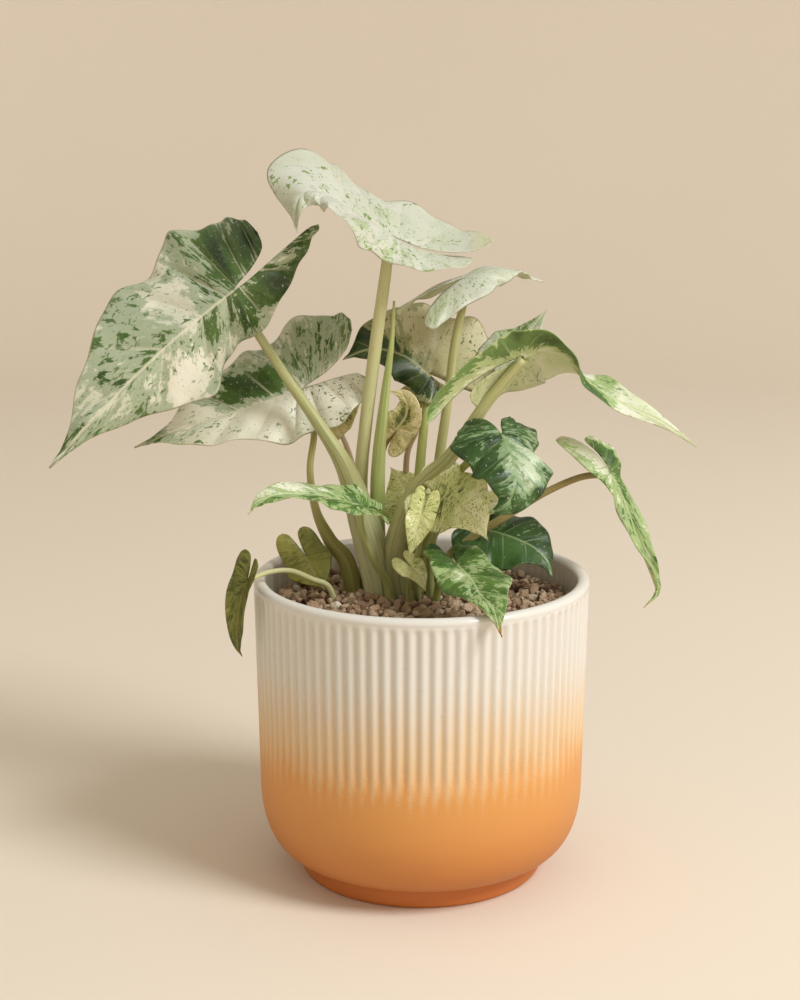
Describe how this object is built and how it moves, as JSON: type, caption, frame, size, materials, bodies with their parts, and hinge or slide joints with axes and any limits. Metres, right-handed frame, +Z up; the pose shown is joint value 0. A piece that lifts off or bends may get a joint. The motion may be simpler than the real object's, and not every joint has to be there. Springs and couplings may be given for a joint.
{
  "type": "potted plant",
  "caption": "Variegated elephant-ear plant with arrow-shaped waved leaves on long sheathing stalks, in a ribbed ombre ceramic pot topped with pumice gravel.",
  "frame": {"origin": "middle of the flat foot of the pot, on the surface that it stands on", "axes": "+Z up along the pot's axis, -Y towards the front, +X to the right as seen from the front"},
  "size_m": [0.2991, 0.1673, 0.3427],
  "materials": {
    "glaze": "gloss",
    "soil": "matte",
    "pumice": "matte",
    "stalk": "satin",
    "spear": "satin",
    "marbled": "satin",
    "pale": "satin",
    "green": "satin",
    "dark": "satin",
    "olive": "satin",
    "tan": "satin"
  },
  "bodies": {
    "root": {"pot": "glaze", "soil": "soil", "gravel": "pumice", "spear_new_leaf": "spear", "stalk_big_left": "stalk", "leaf_big_left": "marbled", "stalk_second_left": "stalk", "leaf_second_left": "marbled", "stalk_top": "stalk", "leaf_top": "pale", "stalk_second_top": "stalk", "leaf_second_top": "pale", "stalk_centre_dark": "stalk", "leaf_centre_dark": "dark", "stalk_right_arch": "stalk", "leaf_right_arch": "green", "stalk_dark_droop": "stalk", "leaf_dark_droop": "dark", "stalk_far_right": "stalk", "leaf_far_right": "green", "stalk_front_left": "stalk", "leaf_front_left": "green", "stalk_left_small": "stalk", "leaf_left_small": "olive", "stalk_far_left_small": "stalk", "leaf_far_left_small": "olive", "stalk_front_right": "stalk", "leaf_front_right": "green", "stalk_dark_low": "stalk", "leaf_dark_low": "dark", "stalk_cream_point": "stalk", "leaf_cream_point": "pale", "stalk_cream_right": "stalk", "leaf_cream_right": "pale", "stalk_marbled_low": "stalk", "leaf_marbled_low": "marbled", "stalk_cream_low": "stalk", "leaf_cream_low": "pale", "stalk_olive_back": "stalk", "leaf_olive_back": "olive", "stalk_tan_mid": "stalk", "leaf_tan_mid": "tan", "stalk_tan_left": "stalk", "leaf_tan_left": "tan", "stalk_tan_under": "stalk", "leaf_tan_under": "tan", "stalk_back_pale": "stalk", "leaf_back_pale": "pale"}
  },
  "joints": []
}
